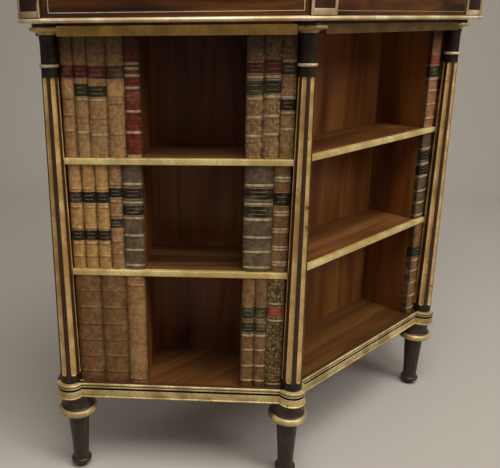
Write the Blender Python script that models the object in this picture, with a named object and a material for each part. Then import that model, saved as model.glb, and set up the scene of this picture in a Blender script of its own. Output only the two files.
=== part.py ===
"""Open bookcase side cabinet with canted sides, ebonised, mahogany and parcel-gilt.

Plan: a front between two columns, a side canted at 45 degrees at each end, and a flat back against
the wall. Above the open tiers an overhanging frieze holds one drawer. Metres, +Z up, the front faces
-Y, the origin is on the floor under the middle of the top board.
"""
import math

import bmesh
import bpy

# Plan
FRONT_SPAN = 0.458           # between the axes of the two front columns
CANT_RUN = 0.283             # each canted side runs this far sideways and this far back
GAP = 0.0003                 # clearance between pieces that touch

# Heights above the floor
BASE_BOTTOM = 0.162
BASE_TOP = 0.191
LOWER_SHELF_TOP = 0.408
UPPER_SHELF_TOP = 0.604
BAND_BOTTOM = 0.797
BAND_HEIGHT = 0.015
SHADOW_GAP = 0.004           # recess between the band and the frieze moulding
FRIEZE_MOULDING_HEIGHT = 0.007
FRIEZE_HEIGHT = 0.088
TOP_THICKNESS = 0.022

# Feet
FOOT_INSET = 0.010           # foot axes inside the front column axes
REAR_FOOT_INSET = 0.011      # the same, rear columns
FOOT_RING_RADIUS = 0.0355
FOOT_RING_HEIGHT = 0.014
FOOT_DISC_RADIUS = 0.033
FOOT_DISC_HEIGHT = 0.0307
LEG_TOP_RADIUS = 0.0196
LEG_BOTTOM_RADIUS = 0.0143
FOOT_COLLAR_RADIUS = 0.019
FOOT_COLLAR_HEIGHT = 0.016
FOOT_TOE_HEIGHT = 0.008
FOOT_TOE_RADIUS = 0.0106

# Base
BLOCK_RADIUS = 0.0245        # flat fascia of the round blocks
FASCIA_OUT = 0.012           # fascia of the straight mouldings, out from the column axes
REED_PROUD = 0.0015          # reeds and bottom bead stand proud of the fascia
REED_HEIGHT = 0.0046
GROOVE_HEIGHT = 0.0034
GROOVE_DEPTH = 0.003
BEAD_HEIGHT = 0.003
MOULDING_THICKNESS = 0.007
BASE_BOARD_RAISE = 0.002     # underside of the board above the bottom of the mouldings
FLOOR_DROP = 0.006           # bay floors below the top of the mouldings
END_OUT = 0.004              # ends of the boards beyond the rear column axes

# Columns
SHAFT_FOOT_RADIUS = 0.0183
SHAFT_TOP_RADIUS = 0.0127
RING_RADIUS = 0.0152
RING_HEIGHT = 0.005
NECK_HEIGHT = 0.041
FLUTE_COUNT = 6
FLUTE_HALF_ANGLE = math.radians(16.5)
FLUTE_DEPTH = 0.0022
FLUTE_PHASE = math.radians(-11.0)
FLUTE_BOTTOM_MARGIN = 0.015
FLUTE_TOP_MARGIN = 0.015

# Capitals
CAPITAL_RADIUS = 0.0265
CAPITAL_HEIGHT = 0.0147
CAPITAL_DROP = 0.001         # flare ends this far below the top of the band
ABACUS_RADIUS = 0.022
CAPITAL_BACKING = 0.0025     # wood of the carcass top behind the rear capitals

# Carcass top
BAND_OUT = 0.016             # gilt band, out from the column axes
BAND_RECESS = 0.008          # shadow gap above the band lies this far in
OUTER_BACK_THICKNESS = 0.0075
BACK_STILE = 0.020
BACK_END_IN = 0.014          # ends of the outer back inside the rear column axes

# Bays
BAY_DEPTH = 0.130            # from the column axes to the face of the bay's back panel
BAY_BACK_THICKNESS = 0.008
UPRIGHT_THICKNESS = 0.009
SHELF_THICKNESS = 0.0095
SHELF_LIP = 0.009            # depth of the gilt front edge that runs from column to column
BOOK_FACE = 0.0045           # crown of the book spines behind the shelf edge
BOOK_ROUND = 0.0035          # how far a spine curves back at its joints
BOOK_BACK = 0.0162           # back of the false book boards
BOOK_SIDE_GAP = 0.0008       # between the book boards and the column shafts
BEHIND_COLUMN = 0.004        # a book board that passes behind a column ends this far from its axis
FRONT_RECESS = 0.0115        # front bay and its base moulding, behind their place on the canted sides
FRONT_OPENING_MARGIN = 0.0425
OUTER_STRIP_MARGIN = 0.012   # rear column axis to the side opening, beyond the bay's depth
BAY_CLEARANCE = 0.009        # between the side bay's upright and the front bay's back corner

# Share of the strip that each false spine takes, bottom tier first, from the rear column on
OUTER_SPINES = ((45, 45, 33), (22, 22, 22, 22, 34), (21, 22, 30, 28, 25))
INNER_SPINES = ((24, 23, 31), (47, 27), (27, 27, 24))
FRONT_SPINES = ((26,), (26,), (26,))

# Frieze
FRIEZE_OUT = 0.028           # frieze face, out from the column axes
POST_BLOCK = 0.0615          # width of the framed block over each column
POST_SHIFT = 0.0068          # middle of the block beyond the column axis, towards the corner
POST_MARGIN = 0.005          # plain veneer between the block and the corner
BLOCK_PROUD = 0.002
FRIEZE_WALL = 0.018
FRIEZE_BEAD = 0.005          # lower moulding beyond the frieze face
TOP_OVERHANG = 0.020

# Drawer
DRAWER_SIDE = 0.010
DRAWER_LENGTH = 0.280
DRAWER_SIDE_DROP = 0.012     # sides end this far below the front's top edge
DRAWER_BOTTOM = 0.006
DRAWER_CLEARANCE = 0.0005
GUIDE_THICKNESS = 0.012
KNOB_SPACING = 0.240
KNOB_RADIUS = 0.010
KNOB_PROJECTION = 0.017

TURNED_SEGMENTS = 20
TAN_MITRE = math.tan(math.radians(22.5))
ROOT_HALF = math.sqrt(0.5)

# Places worked out from the sizes above
BAND_TOP = BAND_BOTTOM + BAND_HEIGHT
FRIEZE_BOTTOM = BAND_TOP + SHADOW_GAP
FRIEZE_FOOT = FRIEZE_BOTTOM + FRIEZE_MOULDING_HEIGHT
FRIEZE_TOP = FRIEZE_FOOT + FRIEZE_HEIGHT
BACK_FACE_IN = CAPITAL_RADIUS + CAPITAL_BACKING + 2 * GAP
BODY_BACK = BACK_FACE_IN + OUTER_BACK_THICKNESS
TOTAL_DEPTH = TOP_OVERHANG + FRIEZE_OUT + CANT_RUN + BODY_BACK
FRONT_Y = -TOTAL_DEPTH / 2 + TOP_OVERHANG + FRIEZE_OUT
REAR_Y = FRONT_Y + CANT_RUN
BACK_Y = REAR_Y + BODY_BACK
BACK_FACE = REAR_Y + BACK_FACE_IN
FRONT_X = FRONT_SPAN / 2
REAR_X = FRONT_X + CANT_RUN
SIDE_SPAN = CANT_RUN / ROOT_HALF
FRIEZE_Y = FRONT_Y - FRIEZE_OUT
BLOCK_INNER = POST_SHIFT - POST_BLOCK / 2    # sides of the block, out from the column axis
BLOCK_OUTER = POST_SHIFT + POST_BLOCK / 2
SHAFT_BOTTOM = BASE_TOP + GAP
BLOCK_ROOM = BLOCK_RADIUS + REED_PROUD + GAP
FLOOR = BASE_TOP - FLOOR_DROP
CAPITAL_TOP = BAND_TOP - CAPITAL_DROP
CAPITAL_BOTTOM = CAPITAL_TOP - CAPITAL_HEIGHT
NECK_TOP = CAPITAL_BOTTOM - GAP
RING_TOP = NECK_TOP - NECK_HEIGHT
RING_BOTTOM = RING_TOP - RING_HEIGHT
FLUTE_BOTTOM = SHAFT_BOTTOM + FLUTE_BOTTOM_MARGIN
FLUTE_TOP = RING_BOTTOM - FLUTE_TOP_MARGIN
BAY_REACH = BAY_DEPTH + GAP + BAY_BACK_THICKNESS
SIDE_OUTER_STRIP = BAY_DEPTH + OUTER_STRIP_MARGIN
SIDE_INNER_STRIP = ((BAY_REACH - FRONT_OPENING_MARGIN + UPRIGHT_THICKNESS) * ROOT_HALF
                    + UPRIGHT_THICKNESS + BAY_CLEARANCE)
CORNERS = {
    "front_left": (-FRONT_X, FRONT_Y),
    "front_right": (FRONT_X, FRONT_Y),
    "rear_left": (-REAR_X, REAR_Y),
    "rear_right": (REAR_X, REAR_Y),
}

for old in list(bpy.data.objects):
    bpy.data.objects.remove(old, do_unlink=True)


def paint(name, colour, roughness, metallic=0.0):
    """Principled material, made once and shared by its name."""
    found = bpy.data.materials.get(name)
    if found:
        return found
    made = bpy.data.materials.new(name)
    made.use_nodes = True
    made.diffuse_color = (*colour, 1.0)
    shader = made.node_tree.nodes["Principled BSDF"]
    shader.inputs["Base Color"].default_value = (*colour, 1.0)
    shader.inputs["Roughness"].default_value = roughness
    shader.inputs["Metallic"].default_value = metallic
    return made


EBONISED = paint("ebonised", (0.020, 0.017, 0.015), 0.38)
GILT = paint("gilt", (0.52, 0.37, 0.15), 0.42, 0.55)
MAHOGANY = paint("mahogany", (0.20, 0.070, 0.028), 0.42)
VENEER = paint("rosewood", (0.085, 0.032, 0.018), 0.35)
CARCASS = paint("carcass_wood", (0.26, 0.15, 0.075), 0.70)
LEATHER = paint("book_leather", (0.23, 0.11, 0.045), 0.55)


def add_object(name, mesh, material, parent=None, at=(0.0, 0.0, 0.0)):
    """Link a finished mesh as the named object at a place in its parent."""
    made = bpy.data.objects.new(name, mesh)
    bpy.context.scene.collection.objects.link(made)
    if not mesh.materials:
        mesh.materials.append(material)
    made.parent = parent
    made.location = at
    return made


def add_empty(name, at, turn=0.0):
    """Empty that carries a group of pieces, turned about Z."""
    made = bpy.data.objects.new(name, None)
    bpy.context.scene.collection.objects.link(made)
    made.location = at
    made.rotation_euler = (0.0, 0.0, turn)
    return made


def skin_rings(bm, rings):
    """Join rings of equal length with quads and close the first and last ring."""
    loops = [[bm.verts.new(p) for p in ring] for ring in rings]
    count = len(loops[0])
    for low, high in zip(loops, loops[1:]):
        for i in range(count):
            j = (i + 1) % count
            bm.faces.new((low[i], low[j], high[j], high[i]))
    bm.faces.new(loops[0][::-1])
    bm.faces.new(loops[-1])


def closed_mesh(name, rings, round_work=False):
    """Mesh skinned over rings of points, with coinciding points merged and faces turned outwards."""
    bm = bmesh.new()
    skin_rings(bm, rings)
    bmesh.ops.remove_doubles(bm, verts=bm.verts, dist=1e-6)
    bmesh.ops.recalc_face_normals(bm, faces=bm.faces)
    mesh = bpy.data.meshes.new(name)
    bm.to_mesh(mesh)
    bm.free()
    if round_work:
        mesh.shade_smooth()
        mesh.set_sharp_from_angle(angle=math.radians(35))
    return mesh


def stack(name, layers, material, parent=None):
    """Solid from outlines of equal length at rising heights: a list of (outline, z)."""
    rings = [[(x, y, z) for x, y in outline] for outline, z in layers]
    return add_object(name, closed_mesh(name, rings), material, parent)


def board(name, outline, bottom, top, material, parent=None):
    """Straight-sided board from its plan outline."""
    return stack(name, [(outline, bottom), (outline, top)], material, parent)


def box(name, low, high, material, parent):
    """Board placed by its middle, from its low and high corners in the parent's space."""
    half = [(b - a) / 2 for a, b in zip(low, high)]
    middle = [(a + b) / 2 for a, b in zip(low, high)]
    plan = [(-half[0], -half[1]), (half[0], -half[1]), (half[0], half[1]), (-half[0], half[1])]
    made = board(name, plan, -half[2], half[2], material, parent)
    made.location = middle
    return made


def circle(radius, segments=TURNED_SEGMENTS):
    """Points round a circle, the same for every turned piece so that flats line up."""
    turns = [2 * math.pi * i / segments for i in range(segments)]
    return [(radius * math.cos(t), radius * math.sin(t)) for t in turns]


def turned(kind, label, profile, centre, material):
    """Turned piece from (radius, height) pairs, bottom to top; pieces of a kind share their mesh."""
    mesh = bpy.data.meshes.get(kind)
    if not mesh:
        mesh = closed_mesh(kind, [[(x, y, z) for x, y in circle(r)] for r, z in profile], True)
    return add_object(f"{kind}_{label}", mesh, material, at=(*centre, 0.0))


def arc_profile(radius_in, radius_out, low, high, steps=4):
    """Half round between two heights, from the inner to the outer radius and back."""
    turns = [math.pi * (i + 0.5) / steps for i in range(steps)]
    middle, half = (low + high) / 2, (high - low) / 2
    return [(radius_in + (radius_out - radius_in) * math.sin(t), middle - half * math.cos(t)) for t in turns]


def cut(target, cutter):
    """Cut one object with another, which stays as a hidden guide."""
    cutter.hide_render = True
    cutter.display_type = "WIRE"
    knife = target.modifiers.new("cut_" + cutter.name, "BOOLEAN")
    knife.operation = "DIFFERENCE"
    knife.solver = "EXACT"
    knife.object = cutter


def corner_cutters(label, radius, bottom, top):
    """Cylinders round the four column axes."""
    profile = [(radius, bottom), (radius, top)]
    label = f"{label}_cutter"
    return [turned(label, corner, profile, centre, EBONISED) for corner, centre in CORNERS.items()]


def both_sides(points, side):
    """Plan points of a right-hand piece, mirrored for the left-hand one."""
    return [(side * x, y) for x, y in points]


def body_outline(out, back, recess=0.0):
    """Plan of the body, its front and cants this far out from the column axes and the front set back."""
    front_x = FRONT_X + out * TAN_MITRE + recess
    end = REAR_X + END_OUT
    end_y = REAR_Y + END_OUT - out / ROOT_HALF
    right = [(front_x, FRONT_Y - out + recess), (end, end_y), (end, back)]
    return both_sides(right, -1)[::-1] + right


def frieze_corners(out):
    """Corners of the frieze plan on the right: front corner and rear corner."""
    slip = out * TAN_MITRE
    front = (FRONT_X + BLOCK_OUTER + POST_MARGIN + slip, FRIEZE_Y - out)
    end = REAR_X + FRIEZE_OUT
    rear = (end + out, REAR_Y - BLOCK_OUTER - POST_MARGIN - slip)
    return [front, rear]


def frieze_outline(out, back):
    """Whole plan of the frieze, its faces this far out."""
    right = frieze_corners(out) + [(REAR_X + FRIEZE_OUT + out, back)]
    return both_sides(right, -1)[::-1] + right


class Bay:
    """One open bay on its empty: u runs along its face from a column axis, v inwards from the axes."""

    def __init__(self, name, corner, turn, hand, span, first_strip, last_strip, spines, recess=0.0):
        self.name = name
        x, y = CORNERS[corner]
        self.frame = add_empty(f"{name}_bay", (x, y + recess, 0.0), math.radians(turn))
        self.recess = recess
        self.depth = BAY_DEPTH - recess
        self.hand = hand
        self.span = span
        self.first, self.last = first_strip, span - last_strip
        self.spines = spines

    def plan(self, points):
        """Turn (u, v) points into plan points on the empty; the right-hand bay is mirrored."""
        return [(self.hand * u, v) for u, v in points]

    def beside(self, radius, inwards=0.0):
        """How far a column of this radius reaches along the bay, at this distance inwards."""
        return math.sqrt(max(radius ** 2 - (self.recess + inwards) ** 2, BEHIND_COLUMN ** 2))

    def slab(self, name, u0, u1, v0, v1, material):
        """Board square to the bay, from the base board to the carcass top."""
        outline = self.plan([(u0, v0), (u1, v0), (u1, v1), (u0, v1)])
        return board(name, outline, FLOOR + GAP, BAND_BOTTOM - GAP, material, self.frame)


def make_bays():
    """The front bay and the two canted ones, which run from their rear columns to the front."""
    side = (SIDE_SPAN, SIDE_OUTER_STRIP, SIDE_INNER_STRIP, (OUTER_SPINES, INNER_SPINES))
    return [
        Bay("front", "front_left", 0, 1, FRONT_SPAN, FRONT_OPENING_MARGIN, FRONT_OPENING_MARGIN,
            (FRONT_SPINES, FRONT_SPINES), FRONT_RECESS),
        Bay("left", "rear_left", -45, 1, *side),
        Bay("right", "rear_right", 45, -1, *side),
    ]


def shaft_radius(z):
    """Radius of the plain tapered shaft at a height."""
    share = (z - SHAFT_BOTTOM) / (RING_BOTTOM - SHAFT_BOTTOM)
    return SHAFT_FOOT_RADIUS + (SHAFT_TOP_RADIUS - SHAFT_FOOT_RADIUS) * min(max(share, 0.0), 1.0)


def make_foot(corner, centre):
    """Turned foot: plain disc, gilt ring, tapered leg, collar and toe, set in from the corner."""
    turn, inset = (math.radians(67.5), FOOT_INSET) if corner.startswith("front") else (0.0, REAR_FOOT_INSET)
    inner = -1 if centre[0] > 0 else 1
    middle = (centre[0] + inner * inset * math.cos(turn), centre[1] + inset * math.sin(turn))
    top = BASE_BOTTOM - GAP
    ring_top = top - FOOT_DISC_HEIGHT
    ring_bottom = ring_top - FOOT_RING_HEIGHT
    collar_top = FOOT_TOE_HEIGHT + FOOT_COLLAR_HEIGHT
    profile = [(FOOT_TOE_RADIUS, 0.0), (FOOT_TOE_RADIUS, FOOT_TOE_HEIGHT)]
    profile += [(FOOT_COLLAR_RADIUS - 0.003, FOOT_TOE_HEIGHT + 0.002)]
    profile += [(FOOT_COLLAR_RADIUS, FOOT_TOE_HEIGHT + FOOT_COLLAR_HEIGHT * 0.45)]
    profile += [(FOOT_COLLAR_RADIUS, FOOT_TOE_HEIGHT + FOOT_COLLAR_HEIGHT * 0.62)]
    profile += [(LEG_BOTTOM_RADIUS, collar_top), (LEG_TOP_RADIUS, ring_bottom - GAP)]
    profile += arc_profile(FOOT_DISC_RADIUS - 0.010, FOOT_RING_RADIUS, ring_bottom, ring_top, 4)
    profile += [(FOOT_DISC_RADIUS, ring_top + 0.001), (FOOT_DISC_RADIUS, top - 0.008)]
    profile += [(FOOT_DISC_RADIUS - 0.0015, top - 0.003), (FOOT_DISC_RADIUS - 0.004, top)]
    turned("foot", corner, profile, middle, EBONISED)


def base_profile(face):
    """Base moulding from bottom to top as (distance out, height) pairs."""
    proud = face + REED_PROUD
    reeds_bottom = BASE_TOP - 2 * REED_HEIGHT
    groove_bottom = reeds_bottom - GROOVE_HEIGHT
    bead_top = BASE_BOTTOM + BEAD_HEIGHT
    pairs = [(face, BASE_BOTTOM), (proud, BASE_BOTTOM + BEAD_HEIGHT / 3), (proud, bead_top - BEAD_HEIGHT / 3)]
    pairs += [(face, bead_top), (face, groove_bottom)]
    pairs += [(face - GROOVE_DEPTH, groove_bottom + 0.0005), (face - GROOVE_DEPTH, reeds_bottom - 0.0005)]
    for reed in range(2):
        low = reeds_bottom + reed * REED_HEIGHT
        pairs += [(face, low + 0.0003), (proud, low + REED_HEIGHT * 0.35), (proud, low + REED_HEIGHT * 0.65)]
        pairs += [(face, low + REED_HEIGHT - 0.0003)]
    pairs[-1] = (face, BASE_TOP)
    return pairs


def make_base(bays):
    """Base board, round blocks and the straight gilt mouldings between them."""
    low, high = BASE_BOTTOM - 0.010, BASE_TOP + 0.010
    inner_edge = FASCIA_OUT - MOULDING_THICKNESS
    outline = body_outline(inner_edge - GAP, BACK_Y, FRONT_RECESS)
    floor_board = board("base_board", outline, BASE_BOTTOM + BASE_BOARD_RAISE, FLOOR, MAHOGANY)
    for cutter in corner_cutters("base_board", BLOCK_ROOM, low, high):
        cut(floor_board, cutter)
    knives = []
    for corner, centre in CORNERS.items():
        turned("base_block", corner, base_profile(BLOCK_RADIUS), centre, GILT)
        room = BLOCK_RADIUS + GAP
        profile = [(room, low)] + base_profile(room) + [(room, high)]
        knives.append(turned("base_moulding_cutter", corner, profile, centre, GILT))
    for bay in bays:
        section = base_profile(FASCIA_OUT) + [(inner_edge, BASE_TOP), (inner_edge, BASE_BOTTOM)]
        rings = []
        for u in (BLOCK_RADIUS / 3, bay.span - BLOCK_RADIUS / 3):
            rings.append([(*bay.plan([(u, -out)])[0], z) for out, z in section])
        mesh = closed_mesh(f"base_moulding_{bay.name}", rings)
        moulding = add_object(mesh.name, mesh, GILT, bay.frame)
        for knife in knives:
            cut(moulding, knife)


def flute_ring(z, radius, rise):
    """Points round the shaft at one height; rise 1 is full flute depth, 0 the tip of its round end."""
    points = []
    for flute in range(FLUTE_COUNT):
        middle = FLUTE_PHASE - math.pi / 2 + 2 * math.pi * flute / FLUTE_COUNT
        for step in (-1.0, -0.6, -0.2, 0.2, 0.6, 1.0):
            turn = middle + step * FLUTE_HALF_ANGLE
            r = radius - FLUTE_DEPTH * max(0.0, 1 - step * step - (1 - rise) ** 2)
            points.append((r * math.cos(turn), r * math.sin(turn), z))
    return points


def make_column(corner, centre):
    """Tapered shaft with round-ended flutes, astragal ring and plain neck."""
    rings = [flute_ring(SHAFT_BOTTOM, SHAFT_FOOT_RADIUS, 0.0)]
    low_run = shaft_radius(FLUTE_BOTTOM) * FLUTE_HALF_ANGLE
    high_run = shaft_radius(FLUTE_TOP) * FLUTE_HALF_ANGLE
    for rise in (0.0, 0.25, 0.6, 1.0):
        z = FLUTE_BOTTOM + rise * low_run
        rings.append(flute_ring(z, shaft_radius(z), rise))
    for rise in (1.0, 0.6, 0.25, 0.0):
        z = FLUTE_TOP - rise * high_run
        rings.append(flute_ring(z, shaft_radius(z), rise))
    rings.append(flute_ring(RING_BOTTOM, SHAFT_TOP_RADIUS, 0.0))
    for r, z in arc_profile(SHAFT_TOP_RADIUS + 0.0006, RING_RADIUS, RING_BOTTOM, RING_TOP, 3):
        rings.append(flute_ring(z, r, 0.0))
    rings.append(flute_ring(RING_TOP + GAP, SHAFT_TOP_RADIUS, 0.0))
    rings.append(flute_ring(NECK_TOP - 0.006, SHAFT_TOP_RADIUS, 0.0))
    rings.append(flute_ring(NECK_TOP, SHAFT_TOP_RADIUS + 0.0006, 0.0))
    mesh = bpy.data.meshes.get("column") or closed_mesh("column", rings, True)
    add_object(f"column_{corner}", mesh, EBONISED, at=(*centre, 0.0))


def make_capital(corner, centre):
    """Flared capital with the small black abacus that carries the frieze."""
    start = SHAFT_TOP_RADIUS + 0.0008
    swell = CAPITAL_RADIUS - start
    profile = []
    for share in (0.0, 0.35, 0.6, 0.78):
        profile.append((start + swell * share ** 2.2, CAPITAL_BOTTOM + CAPITAL_HEIGHT * share))
    profile += [(CAPITAL_RADIUS, CAPITAL_TOP - 0.0018), (CAPITAL_RADIUS, CAPITAL_TOP - 0.0006)]
    profile += [(CAPITAL_RADIUS - 0.0008, CAPITAL_TOP), (ABACUS_RADIUS, CAPITAL_TOP + 0.0002)]
    profile += [(ABACUS_RADIUS, FRIEZE_BOTTOM - GAP)]
    turned("capital", corner, profile, centre, GILT)


def spine_front(widths, u0, u1, steps):
    """Crowned fronts of a row of spines in this many steps, as (u, v) points."""
    each = steps // len(widths)
    points, start = [(u0, BOOK_FACE + BOOK_ROUND)], u0
    for width in widths:
        size = (u1 - u0) * width / sum(widths)
        for step in range(1, each + 1):
            across = step / each
            points.append((start + size * across, BOOK_FACE + BOOK_ROUND * (2 * across - 1) ** 2))
        start += size
    return points


def tiers():
    """Floor and ceiling of the three tiers, bottom first."""
    floors = (FLOOR, LOWER_SHELF_TOP, UPPER_SHELF_TOP)
    ceilings = (LOWER_SHELF_TOP - SHELF_THICKNESS, UPPER_SHELF_TOP - SHELF_THICKNESS, BAND_BOTTOM)
    return list(zip(floors, ceilings))


def make_books(bay, label, spines, at_start):
    """One strip of false books: a board with crowned spines in each tier, let in behind the shelf edges."""
    common = math.lcm(*(len(widths) for widths in spines))
    steps = common * math.ceil(12 / common) if common > 1 else 4
    rings = []
    for (floor, ceiling), widths in zip(tiers(), spines):
        low, high = floor + GAP, ceiling - GAP
        sections = [(bay.beside(shaft_radius(floor), BOOK_FACE) + BOOK_SIDE_GAP, low, high)]
        if floor < BASE_TOP:
            beside_block = bay.beside(BLOCK_ROOM, BOOK_FACE)
            sections = [(beside_block, low, SHAFT_BOTTOM), (sections[0][0], SHAFT_BOTTOM, high)]
        for beside, bottom, top in sections:
            u0, u1 = (beside, bay.first - GAP) if at_start else (bay.last + GAP, bay.span - beside)
            front = spine_front(widths, u0, u1, steps)
            back = [(u1, BOOK_BACK), (u0, BOOK_BACK)]
            recess = [(u, SHELF_LIP + GAP) for u, _ in front]
            if rings and floor > BASE_TOP:
                rings.append((recess + back, bottom))
            rings += [(front + back, bottom), (front + back, top)]
        if ceiling < BAND_BOTTOM:
            rings.append((recess + back, high))
    layers = [(bay.plan(outline), z) for outline, z in rings]
    stack(f"false_books_{bay.name}_{label}", layers, LEATHER, bay.frame)


def make_bay(bay):
    """Uprights, back panel, shelves and false books of one bay."""
    labels = ("left", "right") if bay.name == "front" else ("outer", "inner")
    edges = ((bay.first - UPRIGHT_THICKNESS, bay.first - GAP), (bay.last + GAP, bay.last + UPRIGHT_THICKNESS))
    for label, (u0, u1) in zip(labels, edges):
        bay.slab(f"{bay.name}_bay_upright_{label}", u0, u1, BOOK_BACK + GAP, bay.depth, MAHOGANY)
    back_face = bay.depth + GAP
    bay.slab(f"{bay.name}_bay_back", edges[0][0], edges[1][1], back_face, back_face + BAY_BACK_THICKNESS, MAHOGANY)
    for label, height in (("lower", LOWER_SHELF_TOP), ("upper", UPPER_SHELF_TOP)):
        beside = bay.beside(shaft_radius(height - SHELF_THICKNESS)) + GAP
        lip = [(beside, 0.0), (bay.span - beside, 0.0), (bay.span - beside, SHELF_LIP)]
        inner = [(bay.last, SHELF_LIP), (bay.last, bay.depth), (bay.first, bay.depth), (bay.first, SHELF_LIP)]
        outline = bay.plan(lip + inner + [(beside, SHELF_LIP)])
        board(f"{bay.name}_shelf_{label}", outline, height - SHELF_THICKNESS, height, MAHOGANY, bay.frame)
    make_books(bay, labels[0], bay.spines[0], True)
    make_books(bay, labels[1], bay.spines[1], False)


def make_carcass():
    """Full-height outer back with its end stiles, and the carcass top with the gilt band on its edge."""
    end = REAR_X - BACK_END_IN
    front = REAR_Y + SHAFT_FOOT_RADIUS + GAP
    layers = []
    below = CAPITAL_BOTTOM - GAP
    block = REAR_Y + BLOCK_ROOM
    for reach, z in ((block, FLOOR + GAP), (block, SHAFT_BOTTOM), (front, SHAFT_BOTTOM), (front, below),
                     (BACK_FACE, below), (BACK_FACE, FRIEZE_TOP)):
        right = [(end - BACK_STILE, BACK_FACE), (end - BACK_STILE, reach), (end, reach), (end, BACK_Y)]
        layers.append((both_sides(right, -1)[::-1] + right, z))
    stack("outer_back", layers, CARCASS)
    back = BACK_FACE - GAP
    recess = BAND_OUT - BAND_RECESS
    layers = [(body_outline(BAND_OUT, back), BAND_BOTTOM), (body_outline(BAND_OUT, back), BAND_TOP),
              (body_outline(recess, back), BAND_TOP), (body_outline(recess, back), FRIEZE_BOTTOM - GAP)]
    top = stack("carcass_top", layers, GILT)
    low, high = BAND_BOTTOM - 0.020, FRIEZE_BOTTOM + 0.010
    for cutter in corner_cutters("carcass_top", CAPITAL_RADIUS + GAP, low, high):
        cut(top, cutter)


def make_frieze():
    """Lower moulding board, corner posts with raised blocks and the canted side panels."""
    bead = FRIEZE_MOULDING_HEIGHT
    rise = ((-0.002, 0.0), (0.003, 0.1), (FRIEZE_BEAD, 0.4), (FRIEZE_BEAD, 0.65), (0.003, 0.92), (0.0, 1.0))
    back = BACK_FACE - GAP
    layers = [(frieze_outline(out, back), FRIEZE_BOTTOM + bead * share) for out, share in rise]
    stack("frieze_moulding_board", layers, GILT)
    low, high = FRIEZE_FOOT + GAP, FRIEZE_TOP
    outer, inner = frieze_corners(0.0), frieze_corners(-FRIEZE_WALL)
    proud, slip = BLOCK_PROUD, GAP * ROOT_HALF
    x0, x1 = FRONT_X + BLOCK_INNER, FRONT_X + BLOCK_OUTER
    front_post = [outer[0], inner[0], (x0, inner[0][1]), (x0, FRIEZE_Y - proud), (x1, FRIEZE_Y - proud),
                  (x1, FRIEZE_Y)]
    end = REAR_X + FRIEZE_OUT
    post_back = BACK_FACE - GAP
    y0 = REAR_Y - BLOCK_OUTER
    rear_post = [outer[1], (end, y0), (end + proud, y0), (end + proud, post_back),
                 (end - FRIEZE_WALL, post_back), inner[1]]
    panel = [(outer[0][0] + slip, outer[0][1] + slip), (outer[1][0] - slip, outer[1][1] - slip),
             (inner[1][0] - slip, inner[1][1] - slip), (inner[0][0] + slip, inner[0][1] + slip)]
    for side, label in ((-1, "left"), (1, "right")):
        board(f"frieze_post_front_{label}", both_sides(front_post, side), low, high, VENEER)
        board(f"frieze_post_rear_{label}", both_sides(rear_post, side), low, high, VENEER)
        board(f"frieze_panel_{label}", both_sides(panel, side), low, high, VENEER)


def make_top():
    """Top board with a moulded edge."""
    rise = ((0.55, 0.0), (0.8, 0.2), (1.0, 0.45), (1.0, 0.8), (0.86, 1.0))
    bottom = FRIEZE_TOP + GAP
    layers = []
    for share, height in rise:
        layers.append((frieze_outline(TOP_OVERHANG * share, BACK_Y), bottom + TOP_THICKNESS * height))
    stack("top_board", layers, VENEER)


def make_drawer():
    """Frieze drawer on an empty in the middle of its front, with the fixed guides that it runs between."""
    low, high = FRIEZE_FOOT + GAP, FRIEZE_TOP - DRAWER_CLEARANCE
    opening = FRONT_X + BLOCK_INNER
    half, rise = opening - DRAWER_CLEARANCE, (high - low) / 2
    guides = add_empty("drawer_guides", (0.0, FRIEZE_Y, (low + high) / 2))
    drawer = add_empty("drawer", (0.0, FRIEZE_Y, (low + high) / 2))
    front = FRIEZE_WALL + GAP
    back = front + DRAWER_LENGTH
    side_top = rise - DRAWER_SIDE_DROP
    box("drawer_front", (-half, 0.0, -rise), (half, FRIEZE_WALL, rise), VENEER, drawer)
    inside = half - DRAWER_SIDE - GAP
    for side, label in ((-1, "left"), (1, "right")):
        x0, x1 = sorted((side * half, side * (half - DRAWER_SIDE)))
        box(f"drawer_side_{label}", (x0, front, -rise), (x1, back, side_top), CARCASS, drawer)
        x0, x1 = sorted((side * opening, side * (opening + GUIDE_THICKNESS)))
        reach = BACK_FACE - GAP - FRIEZE_Y
        box(f"drawer_guide_{label}", (x0, front, -rise), (x1, reach, rise), CARCASS, guides)
    over = DRAWER_BOTTOM + GAP - rise
    box("drawer_bottom", (-inside, front, -rise), (inside, back, DRAWER_BOTTOM - rise), CARCASS, drawer)
    box("drawer_back", (-inside, back - DRAWER_SIDE, over), (inside, back, side_top), CARCASS, drawer)
    make_knobs(drawer)


def make_knobs(drawer):
    """Pair of turned knobs on the drawer front."""
    profile = ((0.45, 0.0), (0.4, 0.3), (0.75, 0.5), (1.0, 0.68), (0.85, 0.9), (0.4, 1.0))
    rings = []
    for width, share in profile:
        y = -KNOB_PROJECTION * share
        rings.append([(x, y, z) for x, z in circle(KNOB_RADIUS * width, segments=14)])
    mesh = closed_mesh("drawer_knob", rings, True)
    for side, label in ((-1, "left"), (1, "right")):
        add_object(f"drawer_knob_{label}", mesh, GILT, drawer, (side * KNOB_SPACING / 2, -GAP, 0.0))


all_bays = make_bays()
make_base(all_bays)
for corner_name, corner_centre in CORNERS.items():
    make_foot(corner_name, corner_centre)
    make_column(corner_name, corner_centre)
    make_capital(corner_name, corner_centre)
for open_bay in all_bays:
    make_bay(open_bay)
make_carcass()
make_frieze()
make_drawer()
make_top()
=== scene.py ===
import math

import bpy
import numpy as np
from mathutils import Matrix, Vector


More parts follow.
